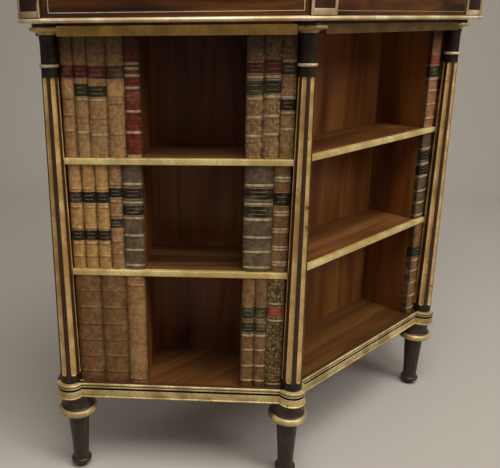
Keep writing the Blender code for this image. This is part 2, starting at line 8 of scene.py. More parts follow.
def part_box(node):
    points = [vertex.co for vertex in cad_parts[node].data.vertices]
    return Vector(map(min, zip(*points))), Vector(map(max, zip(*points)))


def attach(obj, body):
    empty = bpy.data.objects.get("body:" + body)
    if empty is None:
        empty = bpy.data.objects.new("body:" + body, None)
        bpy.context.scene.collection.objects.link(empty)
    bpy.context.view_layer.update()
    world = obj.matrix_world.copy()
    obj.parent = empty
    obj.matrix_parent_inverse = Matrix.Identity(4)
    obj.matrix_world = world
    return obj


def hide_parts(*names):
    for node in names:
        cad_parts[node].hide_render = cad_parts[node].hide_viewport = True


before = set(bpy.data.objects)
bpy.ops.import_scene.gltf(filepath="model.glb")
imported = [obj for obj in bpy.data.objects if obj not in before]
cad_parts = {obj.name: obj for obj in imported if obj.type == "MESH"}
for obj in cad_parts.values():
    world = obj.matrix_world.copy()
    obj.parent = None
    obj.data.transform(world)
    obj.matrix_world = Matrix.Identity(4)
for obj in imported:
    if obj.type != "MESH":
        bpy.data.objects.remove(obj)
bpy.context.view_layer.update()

# Feet
# Four turned feet of ebonised beech, pegged up into the base board under the corners. Each has a hollow
# black neck, a fat ring that is water gilt and dull on its inner side, a tapered leg, a collar and a toe.


def tone(hex_code):
    """Linear colour from a written sRGB one."""
    parts = [int(hex_code[i : i + 2], 16) / 255 for i in (0, 2, 4)]
    return [p / 12.92 if p <= 0.04045 else ((p + 0.055) / 1.055) ** 2.4 for p in parts]


class Finish:
    """Material whose nodes are added one call at a time; a value that is a socket gets linked."""

    def __init__(self, name, colour, roughness, metallic=0.0):
        self.material = bpy.data.materials.new(name)
        self.material.use_nodes = True
        self.tree = self.material.node_tree
        self.shader = self.tree.nodes["Principled BSDF"]
        self.set(self.shader, {"Base Color": (*colour, 1.0), "Roughness": roughness, "Metallic": metallic})
        self.place = self.add("ShaderNodeTexCoord").outputs["Object"]

    def set(self, node, values):
        """Give the node's inputs their values, or link them where the value is a socket."""
        for key, value in values.items():
            if isinstance(value, bpy.types.NodeSocket):
                self.tree.links.new(value, node.inputs[key])
            else:
                node.inputs[key].default_value = value

    def add(self, kind, values=None, **facts):
        """New node with these input values and settings."""
        node = self.tree.nodes.new(kind)
        for key, value in facts.items():
            setattr(node, key, value)
        self.set(node, values or {})
        return node

    def noise(self, scale, detail=3.0, place=None, distortion=0.0):
        """Cloudy pattern between 0 and 1."""
        values = {"Vector": place or self.place, "Scale": scale, "Detail": detail, "Distortion": distortion}
        return self.add("ShaderNodeTexNoise", values).outputs["Fac"]

    def step(self, value, low, high, bottom=0.0, top=1.0):
        """Value eased from bottom to top between low and high."""
        values = {"Value": value, "From Min": low, "From Max": high, "To Min": bottom, "To Max": top}
        return self.add("ShaderNodeMapRange", values, interpolation_type="SMOOTHSTEP").outputs["Result"]

    def blend(self, share, first, second):
        """Colour this share of the way from the first to the second."""
        made = self.add("ShaderNodeMix", data_type="RGBA")
        for key, value in ((0, share), (6, first), (7, second)):
            self.set(made, {key: (*value, 1.0) if isinstance(value, (list, tuple)) else value})
        return made.outputs[2]

    def times(self, first, second, how="MULTIPLY"):
        """Two numbers multiplied, or joined in another way."""
        return self.add("ShaderNodeMath", {0: first, 1: second}, operation=how).outputs[0]

    def height(self):
        """Height above the floor, in metres."""
        return self.add("ShaderNodeSeparateXYZ", {"Vector": self.place}).outputs["Z"]

    def relief(self, height, depth, strength=1.0):
        """Shallow bumps this deep."""
        bump = self.add("ShaderNodeBump", {"Height": height, "Distance": depth, "Strength": strength})
        self.set(self.shader, {"Normal": bump.outputs["Normal"]})


def ebonising(name, stain, worn):
    """Black stain and wax over beech, rubbed brown where hands and dusters go."""
    made = Finish(name, tone(stain), 0.4)
    rubbed = made.step(made.noise(34.0, 5.0), 0.54, 0.74, 0.0, 0.5)
    made.set(made.shader, {"Base Color": made.blend(rubbed, tone(stain), tone(worn)),
                           "Specular IOR Level": 0.32,
                           "Roughness": made.step(made.noise(90.0, 4.0), 0.3, 0.8, 0.34, 0.52)})
    made.relief(made.noise(420.0, 3.0), 0.00012, 0.6)
    return made.material


def gilding(name, bright, deep, worn, wear):
    """Water gilding over a red-brown bole: pale gold dulled in soft clouds, specked and rubbed through."""
    made = Finish(name, tone(bright), 0.4, 0.3)
    gold = made.blend(made.step(made.noise(26.0, 6.0), 0.34, 0.70, 0.25, 1.0), tone(deep), tone(bright))
    grime = made.step(made.noise(300.0, 5.0), 0.50, 0.78, 0.0, 0.7)
    gold = made.blend(grime, gold, tone(deep))
    crackle = made.add("ShaderNodeTexVoronoi", {"Vector": made.place, "Scale": 95.0, "Randomness": 1.0},
                       feature="DISTANCE_TO_EDGE")
    line = made.step(crackle.outputs["Distance"], 0.0, 0.022, 1.0, 0.0)
    line = made.times(line, made.step(made.noise(18.0, 2.0), 0.50, 0.64))
    gold = made.blend(made.times(line, 0.45), gold, tone(worn))
    rubbed = made.step(made.noise(85.0, 9.0), 0.70 - wear, 0.78 - wear)
    gold = made.blend(rubbed, gold, tone(worn))
    made.set(made.shader, {"Base Color": gold,
                           "Roughness": made.step(made.noise(140.0, 3.0), 0.3, 0.75, 0.34, 0.54)})
    made.relief(made.noise(330.0, 4.0), 0.00018, 0.7)
    return made.material


black = ebonising("ebonised", "20150b", "4a3623")
worn_black = ebonising("worn ebonised", "35281d", "5c4936")
gold = gilding("gilding", "e8d091", "886b33", "643420", 0.05)


class Shell:
    """Closed lofts gathered into one mesh. A loft is an array of sections, each a closed loop of points."""

    def __init__(self):
        self.points, self.corners, self.sizes, self.finish = [], [], [], []
        self.dye, self.tooling, self.flat = [], [], []
        self.count = 0

    def loft(self, sections, finish=0, caps=0, dye=(1.0, 1.0, 1.0), tooling=0.0, flat=None):
        """Quads between neighbouring sections and a flat face over the first and the last."""
        sections = np.asarray(sections, dtype=float)
        rows, cols = sections.shape[:2]
        index = np.arange(rows * cols).reshape(rows, cols)
        right = np.roll(index, -1, axis=1)
        quads = np.stack([index[:-1], right[:-1], right[1:], index[1:]], axis=-1).reshape(-1, 4)
        ends = [index[0][::-1], index[-1]]
        p = sections.reshape(-1, 3)
        fans = [quads[:, [0, 1, 2]], quads[:, [0, 2, 3]]]
        for end in ends:
            fans.append(np.stack([np.full(cols - 2, end[0]), end[1:-1], end[2:]], axis=-1))
        tri = p[np.concatenate(fans)] - p.mean(axis=0)
        if np.einsum("ij,ij->i", tri[:, 0], np.cross(tri[:, 1], tri[:, 2])).sum() < 0:
            quads, ends = quads[:, ::-1], [end[::-1] for end in ends]
        loops = np.concatenate([quads.reshape(-1), *ends])
        faces = (rows - 1) * cols
        self.points.append(p)
        self.corners.append(loops + self.count)
        self.sizes.append(np.concatenate([np.full(faces, 4), [cols, cols]]))
        finish = np.broadcast_to(finish, (rows - 1, cols)).reshape(-1)
        self.finish.append(np.concatenate([finish, [caps, caps]]))
        shade = np.broadcast_to(dye, (rows - 1, cols, 3)).reshape(-1, 3)
        self.dye.append(np.concatenate([np.repeat(shade, 4, axis=0), np.tile(shade[:1], (2 * cols, 1))]))
        tool = np.broadcast_to(tooling, (rows - 1, cols)).reshape(-1)
        self.tooling.append(np.concatenate([np.repeat(tool, 4), np.zeros(2 * cols)]))
        spread = np.zeros((rows * cols, 2)) if flat is None else np.asarray(flat, dtype=float).reshape(-1, 2)
        self.flat.append(spread[loops])
        self.count += rows * cols

    def build(self, name, finishes, body="cabinet", replaces=(), sharp=35.0, painted=False):
        """The mesh as an object that rides on a body and stands for its CAD nodes."""
        points = np.concatenate(self.points)
        corners = np.concatenate(self.corners)
        sizes = np.concatenate(self.sizes)
        mesh = bpy.data.meshes.new(name)
        mesh.vertices.add(len(points))
        mesh.vertices.foreach_set("co", points.astype(np.float32).ravel())
        mesh.loops.add(len(corners))
        mesh.loops.foreach_set("vertex_index", corners.astype(np.int32))
        mesh.polygons.add(len(sizes))
        mesh.polygons.foreach_set("loop_start", (np.cumsum(sizes) - sizes).astype(np.int32))
        mesh.polygons.foreach_set("material_index", np.concatenate(self.finish).astype(np.int32))
        for finish in finishes:
            mesh.materials.append(finish)
        mesh.update(calc_edges=True)
        if painted:
            dye = mesh.attributes.new("dye", "FLOAT_COLOR", "CORNER")
            shades = np.concatenate(self.dye)
            shades = np.column_stack([shades, np.ones(len(shades))])
            dye.data.foreach_set("color", shades.astype(np.float32).ravel())
            tool = mesh.attributes.new("tooling", "FLOAT", "CORNER")
            tool.data.foreach_set("value", np.concatenate(self.tooling).astype(np.float32))
            spread = mesh.uv_layers.new(name="spine")
            spread.uv.foreach_set("vector", np.concatenate(self.flat).astype(np.float32).ravel())
        mesh.shade_smooth()
        mesh.set_sharp_from_angle(angle=math.radians(sharp))
        made = bpy.data.objects.new(name, mesh)
        bpy.context.scene.collection.objects.link(made)
        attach(made, body)
        if replaces:
            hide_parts(*replaces)


def arc(centre_out, centre_z, radius_out, radius_z, start, stop, steps):
    """Part of an ellipse in a profile, from one angle to another in degrees, as (out, z) points."""
    turn = np.radians(np.linspace(start, stop, steps))
    return np.column_stack([centre_out + radius_out * np.cos(turn), centre_z + radius_z * np.sin(turn)])


ROUND = np.linspace(0, 2 * np.pi, 96, endpoint=False)  # turns of the points round a turned piece


def spun(profile, centre):
    """Sections of a turned piece: each point is the centre plus its radius along its turn, at its height."""
    x = centre[0] + np.outer(profile[:, 0], np.cos(ROUND))
    y = centre[1] + np.outer(profile[:, 0], np.sin(ROUND))
    return np.stack([x, y, np.broadcast_to(profile[:, 1:2], x.shape)], axis=-1)


def away_from(angle):
    """Degrees between an angle and each point round a turned piece."""
    return np.abs((np.degrees(ROUND) - angle + 180) % 360 - 180)


def between(values):
    """Middle of each two neighbouring values."""
    return (values[1:] + values[:-1]) / 2


def middle(node):
    """Plan middle of a CAD node."""
    low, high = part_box(node)
    return (low[0] + high[0]) / 2, (low[1] + high[1]) / 2


CORNERS = ("front_left", "front_right", "rear_left", "rear_right")
foot_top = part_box("foot_front_left")[1][2]
ring_middle, ring_half = 0.1292, 0.0070
# Points are (radius, height above the floor), from the toe up to the board
foot_profile = np.concatenate([
    [(0.0092, 0.0), (0.0104, 0.0012), (0.0106, 0.0060), (0.0112, 0.0078), (0.0135, 0.0086)],
    arc(0.0125, 0.0140, 0.0064, 0.0056, -65, 65, 13),
    [(0.0148, 0.0208), (0.0148, 0.0222), (0.0144, 0.0240), (0.0146, 0.0300), (0.0156, 0.0530),
     (0.0170, 0.0760), (0.0184, 0.1000), (0.0194, 0.1170), (0.0200, 0.1206), (0.0230, 0.1220)],
    arc(0.0285, ring_middle, 0.0070, ring_half, -85, 85, 21),
    arc(0.0312, 0.1478, 0.0048, 0.0110, 255, 110, 13),
    [(0.0300, 0.1594), (0.0300, foot_top)],
])
dull_gold = gilding("dull gilding", "8f7a4a", "4c3b1f", "2a1c10", 0.08)
in_ring = np.abs(between(foot_profile[:, 1]) - ring_middle) < ring_half * 0.97
on_ring = in_ring & (foot_profile[1:, 0] > 0.0275)
bright_reach = 104  # degrees from outwards, each way, that the ring stays bright
for corner, outward in zip(CORNERS, (270, 270, 225, 315)):
    ring_finish = np.where(away_from(outward) < bright_reach, 1, 2)
    shell = Shell()
    shell.loft(spun(foot_profile, middle(f"foot_{corner}")), finish=on_ring[:, None] * ring_finish[None, :])
    shell.build(f"turned_foot_{corner}", [worn_black, gold, dull_gold],
                replaces=[f"foot_{corner}"])

# Base blocks and base mouldings
# A round gilt block under each column and straight gilt lengths between them, all with one section: a
# small bead, a flat fascia, a dark sunk line and two reeds. Gesso and gold over pine, glued to the board.

(_, _, base_low), (_, _, base_high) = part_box("base_block_front_left")
block_radius, fascia_out, bead_radius = 0.0245, 0.0120, 0.0015
reed, reed_out, groove, groove_in, set_back, seam_half = 0.0046, 0.0019, 0.0040, 0.0028, 0.0004, 0.0009


def base_section(face):
    """Base moulding, bottom to top, as (out, z), and 1 where its sunk line and the reeds' seam are black."""
    groove_top = base_high - 2 * reed
    groove_low = groove_top - groove
    parts = [
        [(face - 0.0006, base_low)],
        arc(face, base_low + bead_radius, bead_radius, bead_radius, -80, 80, 9),
        [(face - set_back, base_low + 0.0031), (face, base_low + 0.0035), (face, groove_low)],
        [(face - groove_in, groove_low + 0.0002), (face - groove_in, groove_top - 0.0002)],
        arc(face - set_back, groove_top + reed / 2, reed_out, reed / 2, -88, 88, 11),
        arc(face - set_back, base_high - reed / 2, reed_out, reed / 2, -88, 60, 11),
        [(face - set_back, base_high)],
    ]
    section = np.concatenate(parts)
    height = between(section[:, 1])
    sunk = (height > groove_low - 0.00005) & (height < groove_top + 0.00005)
    seam = np.abs(height - base_high + reed) < seam_half
    return section, (sunk | seam).astype(int)


def plain_finish(name, code, roughness):
    """Even finish with a slight cloud in its colour and its shine."""
    made = Finish(name, tone(code), roughness)
    cloud = made.noise(60.0, 3.0)
    colour = made.blend(made.step(cloud, 0.3, 0.7, 0.0, 0.3), tone(code), (0.0, 0.0, 0.0))
    made.set(made.shader, {"Base Color": colour,
                           "Roughness": made.step(cloud, 0.3, 0.7, roughness - 0.05, roughness + 0.1)})
    return made.material


floor_wood = plain_finish("mahogany edge", "46290f", 0.5)
section, sunk = base_section(block_radius)
gilt_in = 0.0180  # the block's top is gilt from its edge in to this radius
section, sunk = np.concatenate([section, [(gilt_in, base_high)]]), np.append(sunk, 0)
# Inside the bays a block is bare wood: the angle that faces in, and how far the wood reaches each way
bare_sides = {"front_left": (81, 66), "front_right": (99, 66),
              "rear_left": (45, 101), "rear_right": (135, 101)}
for corner, (inwards, reach) in bare_sides.items():
    bare = away_from(inwards) < reach
    shell = Shell()
    shell.loft(spun(section, middle(f"base_block_{corner}")), caps=2,
               finish=np.where(bare[None, :], 2, sunk[:, None]))
    shell.build(f"gilt_block_{corner}", [gold, black, floor_wood], sharp=50,
                replaces=[f"base_block_{corner}"])

axis = {corner: np.array(middle(f"base_block_{corner}")) for corner in CORNERS}
half_root = math.sqrt(0.5)


class Face:
    """An upright plane: u runs along it from its start and v away from it, both level."""

    def __init__(self, start, along, away):
        self.start, self.along, self.away = np.array(start), np.array(along), np.array(away)

    def put(self, u, v, z):
        """Points at start plus u times along plus v times away, at height z, for arrays of these."""
        u, v, z = np.broadcast_arrays(u, v, z)
        plan = self.start + u[..., None] * self.along + v[..., None] * self.away
        return np.concatenate([plan, z[..., None]], axis=-1)


class Side(Face):
    """One side of the plan, from column axis to column axis, with v inwards from its recess."""

    def __init__(self, name, start, stop, inwards, turn, recess=0.0):
        self.name, self.turn, self.recess = name, turn, recess
        self.span = float(np.linalg.norm(axis[stop] - axis[start]))
        inwards = np.array(inwards)
        super().__init__(axis[start] + recess * inwards, (axis[stop] - axis[start]) / self.span, inwards)


front_recess = 0.0115  # the front bay lies this far in from the axes of its columns
sides = [
    Side("front", "front_left", "front_right", (0.0, 1.0), 0.0, front_recess),
    Side("left", "rear_left", "front_left", (half_root, half_root), -45.0),
    Side("right", "rear_right", "front_right", (-half_root, half_root), 45.0),
]
section, sunk = base_section(fascia_out)
moulding_in, moulding_end = fascia_out - 0.007, 0.012  # its back, and its ends from the column axes
closed = np.concatenate([section, [(moulding_in, base_high), (moulding_in, base_low)]])
for side in sides:
    u = np.linspace(moulding_end, side.span - moulding_end, 40)
    shell = Shell()
    shell.loft(side.put(u[:, None], -closed[None, :, 0], closed[None, :, 1]),
               finish=np.concatenate([sunk, [2, 2, 0]])[None, :])
    shell.build(f"gilt_moulding_{side.name}", [gold, black, floor_wood], sharp=50,
                replaces=[f"base_moulding_{side.name}"])

# Columns
# Tapered beech columns, ebonised, pegged between the blocks and the capitals. Each has six round-ended
# flutes, water gilt inside, a gilt ring over them and a plain black neck.

(_, _, column_low), (_, _, column_high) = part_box("column_front_left")
shaft_foot, shaft_head, ring_low, ring_high = 0.0183, 0.0127, column_high - 0.0460, column_high - 0.0410
flute_count, flute_depth, flute_half, first_flute = 6, 0.0023, math.radians(16.5), math.radians(-101.0)
flute_low, flute_high = column_low + 0.015, ring_low - 0.015


def shaft_radius(z):
    """Radius of the plain shaft at a height: it falls evenly from its foot to the ring."""
    return shaft_foot + (shaft_head - shaft_foot) * np.clip((z - column_low) / (ring_low - column_low), 0, 1)


def flute_share(z):
    """1 along a flute and 0 beyond it, falling as a half circle over its round ends."""
    run = shaft_radius(z) * flute_half
    inside = np.clip(np.minimum(z - flute_low, flute_high - z) / run, 0, 1)
    return np.sqrt(np.clip(1 - (1 - inside) ** 2, 0, 1))


# Heights lie close together at the flutes' round ends, and the ring and the plain neck follow above
round_end, straight_from = 0.0078, 0.011
ease = (1 - np.cos(np.linspace(0, np.pi / 2, 10))) * round_end
straight = np.linspace(flute_low + straight_from, flute_high - straight_from, 24)
fluted = np.concatenate([[column_low], flute_low + ease, straight,
                         flute_high - ease[::-1], [ring_low - 0.0004]])
plain = np.concatenate([
    [(shaft_head, ring_low)],
    arc(shaft_head + 0.0003, (ring_low + ring_high) / 2, 0.0023, 0.0025, -86, 86, 11),
    [(shaft_head - 0.0002, ring_high + 0.0004), (shaft_head - 0.0004, ring_high + 0.004)],
    [(shaft_head - 0.0004, column_high - 0.008), (shaft_head + 0.0004, column_high - 0.001)],
    [(shaft_head + 0.0006, column_high)],
])
in_flute, in_fillet = np.linspace(-1, 1, 13), np.linspace(0, 1, 8)[1:-1]
share = flute_share(fluted)[:, None]
turns, depths, gilt_part = [], [], []
pitch, narrowest = 2 * math.pi / flute_count, 0.03  # beyond its ends a flute keeps this share of its width
for flute in range(flute_count):
    centre_turn = first_flute + flute * pitch
    width = flute_half * np.maximum(share, narrowest)
    turns.append(centre_turn + width * in_flute)
    depths.append(flute_depth * share * np.sqrt(np.clip(1 - in_flute**2, 0, 1)))
    gilt_part.append(np.broadcast_to(in_flute < 1, turns[-1].shape))
    turns.append(centre_turn + width + (pitch - 2 * width) * in_fillet)
    depths.append(np.zeros(turns[-1].shape))
    gilt_part.append(np.zeros(turns[-1].shape, dtype=bool))
turns, depths, gilt_part = (np.concatenate(parts, axis=1) for parts in (turns, depths, gilt_part))
radii = shaft_radius(fluted)[:, None] - depths
turns = np.concatenate([turns, np.repeat(turns[-1:], len(plain), axis=0)])
radii = np.concatenate([radii, np.repeat(plain[:, :1], turns.shape[1], axis=1)])
levels = np.concatenate([fluted, plain[:, 1]])
height = between(levels)
gilt_part = np.concatenate([gilt_part, np.zeros((len(plain), turns.shape[1]), dtype=bool)])[:-1]
gilt_part = gilt_part & ((height > flute_low) & (height < flute_high))[:, None]
rub_below, rub_above = 0.004, 0.002  # the fillets are rubbed brown this far past the flutes
fillet = ~gilt_part & ((height > flute_low - rub_below) & (height < flute_high + rub_above))[:, None]
on_ring = ((height > ring_low) & (height < ring_high))[:, None]
column_finish = gilt_part + 2 * fillet + 3 * on_ring
bole = plain_finish("rubbed fillets", "33190c", 0.5)
flute_gold = gilding("flute gilding", "e4bf76", "9c7230", "6a3a1c", 0.05)
ring_gold = gilding("ring gilding", "f0e3bc", "a08a58", "5a3820", 0.03)
for corner in CORNERS:
    x = axis[corner][0] + radii * np.cos(turns)
    y = axis[corner][1] + radii * np.sin(turns)
    shell = Shell()
    shell.loft(np.stack([x, y, np.broadcast_to(levels[:, None], x.shape)], axis=-1), finish=column_finish)
    shell.build(f"fluted_column_{corner}", [black, flute_gold, bole, ring_gold], sharp=28,
                replaces=[f"column_{corner}"])

# Capitals
# A turned, gilt, bell-shaped capital on each column, with a small black disc above it that carries the
# frieze. Glued on a dowel between column and frieze.

(_, _, cap_low), (_, _, cap_high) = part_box("capital_front_left")
bell, flare = cap_low + 0.0026, cap_low + 0.0138
rise = np.linspace(0, 1, 14)
capital_profile = np.concatenate([
    [(0.0132, cap_low), (0.0132, bell)],
    np.column_stack([0.0138 + 0.0100 * rise**2.4, bell + 0.0004 + 0.0050 * rise]),
    arc(0.0240, flare - 0.0029, 0.0025, 0.0028, -75, 88, 11),
    [(0.0222, flare + 0.0001), (0.0220, flare + 0.0004), (0.0220, cap_high - 0.0004), (0.0216, cap_high)],
])
level = between(capital_profile[:, 1])
black_part = ((level > flare) | (level < bell)).astype(int)
capital_gold = gilding("capital gilding", "cfae70", "80623a", "46291a", 0.08)
for corner in CORNERS:
    shell = Shell()
    shell.loft(spun(capital_profile, axis[corner]), finish=black_part[:, None], caps=1)
    shell.build(f"gilt_capital_{corner}", [capital_gold, black], sharp=40,
                replaces=[f"capital_{corner}"])

# Carcass, bays and shelves
# Solid mahogany boards, polished inside: the base board, two uprights and a back to each bay, and the
# shelves. Each shelf has a gilt strip glued along its front edge, from column to column.


top_shade_low, top_shade_high = 0.62, 0.79  # heights between which painted shade darkens the walls under the band


def mahogany(name, grain, turn=0.0, tones=("40200c", "784320", "915d2c"), gloss=0.40, size=1.0, top_shade=0.0):
    """Wood with cloudy figure, dark streaks and pores along its grain: x level, turned so far, or z upright.

    Its three tones run from dark to pale, size is that of the figure, and the last is a share of painted
    shade that darkens it under the band.
    """
    dark, fair, pale = (tone(code) for code in tones)
    made = Finish(name, fair, gloss)

    def along(length, width):
        scale = {"x": (length, width, width), "z": (width, width, length)}[grain]
        values = {"Vector": made.place, "Rotation": (0.0, 0.0, math.radians(turn)), "Scale": scale}
        return made.add("ShaderNodeMapping", values, vector_type="TEXTURE").outputs["Vector"]

    figure = made.noise(1.0, 5.0, along(0.46 * size, 0.052 * size), 0.45)
    colour = made.blend(made.step(figure, 0.26, 0.60), dark, fair)
    colour = made.blend(made.step(figure, 0.48, 0.80), colour, pale)
    streaks = made.noise(1.0, 3.0, along(0.50 * size, 0.011 * size), 0.3)
    colour = made.blend(made.step(streaks, 0.50, 0.72, 0.0, 0.42), colour, dark)
    pores = made.noise(1.0, 2.0, along(0.055, 0.0016))
    colour = made.blend(made.step(pores, 0.54, 0.74, 0.0, 0.40), colour, dark)
    if top_shade:
        # painted shade: darker towards the band above, where the overhang shades the wall
        top_shade_share = made.step(made.height(), top_shade_low, top_shade_high, 0.0, top_shade)
        colour = made.blend(top_shade_share, colour, (0.0, 0.0, 0.0))
    roughness = made.step(made.noise(14.0, 4.0), 0.3, 0.75, gloss - 0.06, gloss + 0.12)
    made.set(made.shader, {"Base Color": colour, "Specular IOR Level": 0.22, "Roughness": roughness})
    made.relief(pores, 0.0002, 0.35)
    return made.material


def dress(node, finish):
    """Give a CAD node its finish."""
    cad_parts[node].data.materials.clear()
    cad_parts[node].data.materials.append(finish)


# The side bays' walls get painted shade under the band.
upright_wood = mahogany("upright mahogany", "z", top_shade=0.4)
front_wood = mahogany("front bay mahogany", "z", 0.0, ("522a0e", "7c4b22", "8f602d"))
# The side bays' shelves and walls take darker tones than the front bay's: partly their own colour, partly
# painted shade for the shaded side bays.
flat_tones = {"front": ("42250f", "784a25", "966639"), "left": ("36200f", "613f22", "7c5230")}
flat_tones["right"] = flat_tones["left"]
flat_wood = {}
for side in sides:
    flat_wood[side.name] = mahogany(f"{side.name} shelf mahogany", "x", side.turn, flat_tones[side.name])
dress("base_board", mahogany("bay floor mahogany", "x", 0.0, ("402510", "66401f", "775029")))
ends = {"front": ("left", "right"), "left": ("outer", "inner"), "right": ("outer", "inner")}
edge_gold = gilding("shelf edge gilding", "ecd592", "b3924c", "6a4a28", 0.0)
lip_face, lip_back, lip_round, proud = 0.0006, 0.0088, 0.0010, 0.0002
for side in sides:
    wall = front_wood if side.name == "front" else upright_wood
    for node in (*(f"{side.name}_bay_upright_{end}" for end in ends[side.name]), f"{side.name}_bay_back"):
        dress(node, wall)
    for level_name in ("lower", "upper"):
        node = f"{side.name}_shelf_{level_name}"
        dress(node, flat_wood[side.name])
        low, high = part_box(node)
        z0, z1 = low[2] - proud, high[2] + proud
        lip = np.concatenate([
            [(lip_back, z0), (lip_face, z0)],
            arc(lip_face, z0 + lip_round, lip_round, lip_round, 270, 180, 4),
            arc(lip_face, z1 - lip_round, lip_round, lip_round, 180, 90, 4),
            [(lip_back, z1)],
        ])
        beside = math.sqrt(float(shaft_radius(low[2])) ** 2 - side.recess**2) + proud
        u = np.linspace(beside, side.span - beside, 60)
        shell = Shell()
        shell.loft(side.put(u[:, None], lip[None, :, 0], lip[None, :, 1]))
        shell.build(f"gilt_edge_{side.name}_{level_name}", [edge_gold], sharp=50)

# False books
# One board for each strip, glued in beside the opening and faced with real leather spines: calf, sheep and
# morocco with raised bands, coloured labels and worn gold tooling. No titles are lettered on them.


head_shade_low, head_shade_high = 0.738, 0.786  # heights between which painted shade darkens the heads of the top spines


def book_leather():
    """Leather in the spine's own dye: mottled, rubbed pale on its bands, with worn gold tooling and painted
    shade on the heads of the top spines.
    """
    made = Finish("book leather", tone("7c5c3c"), 0.5)
    dye = made.add("ShaderNodeAttribute", attribute_name="dye", attribute_type="GEOMETRY").outputs["Color"]
    tool = made.add("ShaderNodeAttribute", attribute_name="tooling", attribute_type="GEOMETRY").outputs["Fac"]
    mottle = made.step(made.noise(140.0, 5.0), 0.32, 0.70)
    colour = made.blend(mottle, made.blend(0.48, dye, tone("1c0f06")), dye)
    bright = made.step(made.noise(46.0, 5.0), 0.50, 0.72, 0.0, 0.30)
    colour = made.blend(bright, colour, made.blend(0.35, dye, tone("d8b98a")))
    spread = made.add("ShaderNodeUVMap", uv_map="spine").outputs["UV"]
    sprigs = made.add("ShaderNodeTexVoronoi", {"Vector": spread, "Scale": 170.0, "Randomness": 0.25},
                      feature="F1", voronoi_dimensions="2D").outputs["Distance"]
    curls = made.add("ShaderNodeTexVoronoi", {"Vector": spread, "Scale": 330.0, "Randomness": 0.8},
                     feature="DISTANCE_TO_EDGE", voronoi_dimensions="2D").outputs["Distance"]
    sprigs, curls = made.step(sprigs, 0.30, 0.46, 1.0, 0.0), made.step(curls, 0.05, 0.16, 1.0, 0.0)
    drawn = made.times(sprigs, curls, "MAXIMUM")
    worn = made.step(made.noise(210.0, 4.0), 0.42, 0.62)
    gold_share = made.times(made.times(drawn, worn), made.times(tool, 0.62))
    colour = made.blend(gold_share, colour, tone("b99457"))
    # painted shade: the heads of the top spines darken under the band's overhang
    head_shade = made.step(made.height(), head_shade_low, head_shade_high, 0.0, 0.6)
    colour = made.blend(head_shade, colour, tone("0c0602"))
    made.set(made.shader, {"Base Color": colour, "Specular IOR Level": 0.25,
                           "Roughness": made.step(mottle, 0.0, 1.0, 0.42, 0.62)})
    made.relief(made.noise(500.0, 4.0), 0.0003, 0.6)
    return made.material


leather = book_leather()
TAN, GOLDEN, BROWN, DARK, GREY, WINE = "9c7348", "b5894f", "7a5430", "4b3822", "5e4c37", "691a10"
RED, GREEN, JET, PALE = "5a1c12", "232b12", "140e0a", "c0a67c"
PATCH, RUST, ROSE = "c4935a", "963f22", "9a6546"
# Each spine: dye, share of gold tooling, labels (low, high, dye) and bands (height, dye), in millimetres
# above the shelf. The strips run from the rear column on, bottom tier first.
ribbed = [(h, None) for h in (24, 56, 88, 120, 152, 184)]
mid_bands = [(h, PALE) for h in (8, 36, 62, 93, 120, 152)]
gilt_mid = (GOLDEN, 0.5, [(51, 71, JET), (118, 139, JET)], [(h, None) for h in (24, 47, 75, 112, 144)])
rear_strip = (
    [(BROWN, 0.1, [], ribbed), (BROWN, 0.1, [], ribbed), ("9a7143", 0.15, [], [(10, None), (196, None)])],
    [gilt_mid, gilt_mid, gilt_mid,
     (TAN, 0.2, [(74, 92, JET), (128, 146, JET)], [(h, None) for h in (30, 52, 98, 122, 152)]),
     (GREY, 0.15, [(97, 116, JET), (126, 146, JET)], mid_bands)],
    [(TAN, 0.5, [(101, 126, PATCH), (128, 150, RED)], [(45, None), (71, None), (98, None)]),
     (TAN, 0.7, [(99, 121, GREEN), (128, 150, RED)], [(42, PALE), (68, None), (95, PALE)]),
     (TAN, 0.8, [(98, 117, GREEN), (126, 148, RED)], [(38, PALE), (66, None), (94, PALE)]),
     (TAN, 0.9, [(100, 124, PATCH), (126, 148, "4a2a18")], [(40, None), (90, None)]),
     (WINE, 0.25, [(0, 6, PALE)], [(h, PALE) for h in (42, 76, 113, 132, 143, 151)])],
)
corner_strip = (
    [(BROWN, 0.3, [(109, 130, GREEN), (136, 160, GREEN)], [(h, PALE) for h in (14, 44, 76, 104)]),
     ("75502f", 0.3, [(109, 130, "3a3319"), (136, 160, "3a3319")], [(h, PALE) for h in (14, 44, 76, 104)]),
     (DARK, 1.0, [(141, 160, RUST)], [(h, PALE) for h in (8, 134, 166)])],
    [(GREY, 0.15, [(96, 117, JET), (127, 148, JET)], mid_bands),
     (BROWN, 0.2, [(117, 141, JET)], [(h, PALE) for h in (13, 18, 41, 46, 72, 77, 102, 107, 160, 165)])],
    [("735637", 1.0, [(100, 125, GREEN), (134, 152, RED)], [(h, PALE) for h in (37, 67, 96, 129)]),
     ("735637", 1.0, [(103, 125, GREEN), (134, 157, RED)], [(h, PALE) for h in (40, 69, 99, 130)]),
     ("80603d", 0.9, [(77, 96, JET), (132, 152, JET)], [(h, PALE) for h in (48, 74, 98, 154)])],
)
narrow_strip = (
    [(BROWN, 0.3, [(136, 160, GREEN)], [(h, PALE) for h in (14, 44, 76, 104, 128)])],
    [(GREY, 0.2, [(96, 117, JET), (127, 148, JET)], mid_bands)],
    [(ROSE, 0.6, [(101, 124, GREEN), (126, 145, RUST), (148, 171, "a5683c")],
      [(h, PALE) for h in (20, 48, 75, 98)])],
)
rear_widths = ((45, 45, 33), (22, 22, 22, 22, 34), (21, 22, 30, 28, 25))
corner_widths = ((24, 23, 31), (47, 27), (27, 27, 24))
narrow_widths = ((26,), (26,), (26,))
# Of labels and bands, in millimetres; the last is half a band together with the painted shade beside it
rim, half_rule, half_band, half_lift, half_band_and_shadow = 0.9, 0.4, 2.2, 2.3, 3.1
